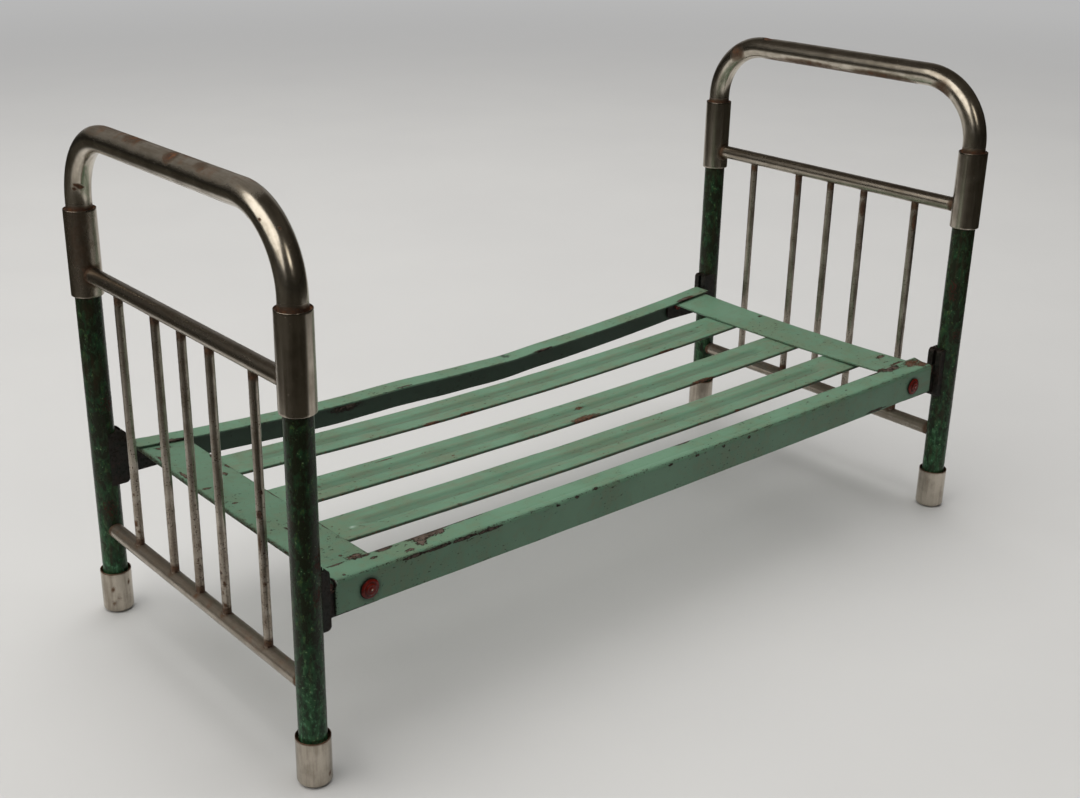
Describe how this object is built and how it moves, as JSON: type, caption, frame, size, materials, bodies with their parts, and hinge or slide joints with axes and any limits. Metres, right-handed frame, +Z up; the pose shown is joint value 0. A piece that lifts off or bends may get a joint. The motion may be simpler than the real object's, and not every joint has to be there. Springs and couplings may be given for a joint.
{
  "type": "miniature doll's bed",
  "caption": "Miniature doll's bed: two tubular metal end frames with arched bows and thin spindles, and a lift-off slatted sheet-metal base hooked between them.",
  "frame": {"origin": "on the floor, centred between the four posts (bottom centre of the bounding box)", "axes": "+X from the foot end to the head end, +Y from the front side to the back side, +Z up"},
  "size_m": [0.433, 0.195, 0.246],
  "materials": {
    "worn_nickel": "worn nickel plate with brown rust specks and dull patches",
    "spindle_nickel": "tarnished nickel plate, heavily pitted with rust",
    "green_enamel": "mottled dark green gloss enamel, worn",
    "sage_paint": "sage green gloss paint with chips and rust along the edges",
    "rusted_iron": "dark rusted iron",
    "red_rivet_paint": "worn dark red paint on a steel rivet"
  },
  "bodies": {
    "foot_end": {"foot_bow": "worn_nickel", "foot_bracket_back": "rusted_iron", "foot_bracket_front": "rusted_iron", "foot_ferrule_back": "worn_nickel", "foot_ferrule_front": "worn_nickel", "foot_lower_crossbar": "worn_nickel", "foot_post_back": "green_enamel", "foot_post_front": "green_enamel", "foot_sleeve_back": "worn_nickel", "foot_sleeve_front": "worn_nickel", "foot_spindle_1": "spindle_nickel", "foot_spindle_2": "spindle_nickel", "foot_spindle_3": "spindle_nickel", "foot_spindle_4": "spindle_nickel", "foot_spindle_5": "spindle_nickel", "foot_upper_crossbar": "worn_nickel"},
    "base": {"back_side_rail": "sage_paint", "foot_end_plate": "sage_paint", "front_side_rail": "sage_paint", "head_end_plate": "sage_paint", "hook_plate_foot_back": "rusted_iron", "hook_plate_foot_front": "rusted_iron", "hook_plate_head_back": "rusted_iron", "hook_plate_head_front": "rusted_iron", "rail_rivet_foot_back": "red_rivet_paint", "rail_rivet_foot_front": "red_rivet_paint", "rail_rivet_head_back": "red_rivet_paint", "rail_rivet_head_front": "red_rivet_paint", "slat_1": "sage_paint", "slat_2": "sage_paint", "slat_3": "sage_paint"},
    "head_end": {"head_bow": "worn_nickel", "head_bracket_back": "rusted_iron", "head_bracket_front": "rusted_iron", "head_ferrule_back": "worn_nickel", "head_ferrule_front": "worn_nickel", "head_lower_crossbar": "worn_nickel", "head_post_back": "green_enamel", "head_post_front": "green_enamel", "head_sleeve_back": "worn_nickel", "head_sleeve_front": "worn_nickel", "head_spindle_1": "spindle_nickel", "head_spindle_2": "spindle_nickel", "head_spindle_3": "spindle_nickel", "head_spindle_4": "spindle_nickel", "head_spindle_5": "spindle_nickel", "head_upper_crossbar": "worn_nickel"}
  },
  "joints": [
    {"name": "base_lift", "type": "slide", "parent": "foot_end", "child": "base", "axis": [0, 0, 1], "range_m": [0, 0.028]},
    {"name": "head_frame_release", "type": "slide", "parent": "base", "child": "head_end", "axis": [0, 0, 1], "range_m": [-0.028, 0]}
  ],
  "couplings": [
    {"joint": "head_frame_release", "follows": "base_lift", "ratio": -1}
  ]
}
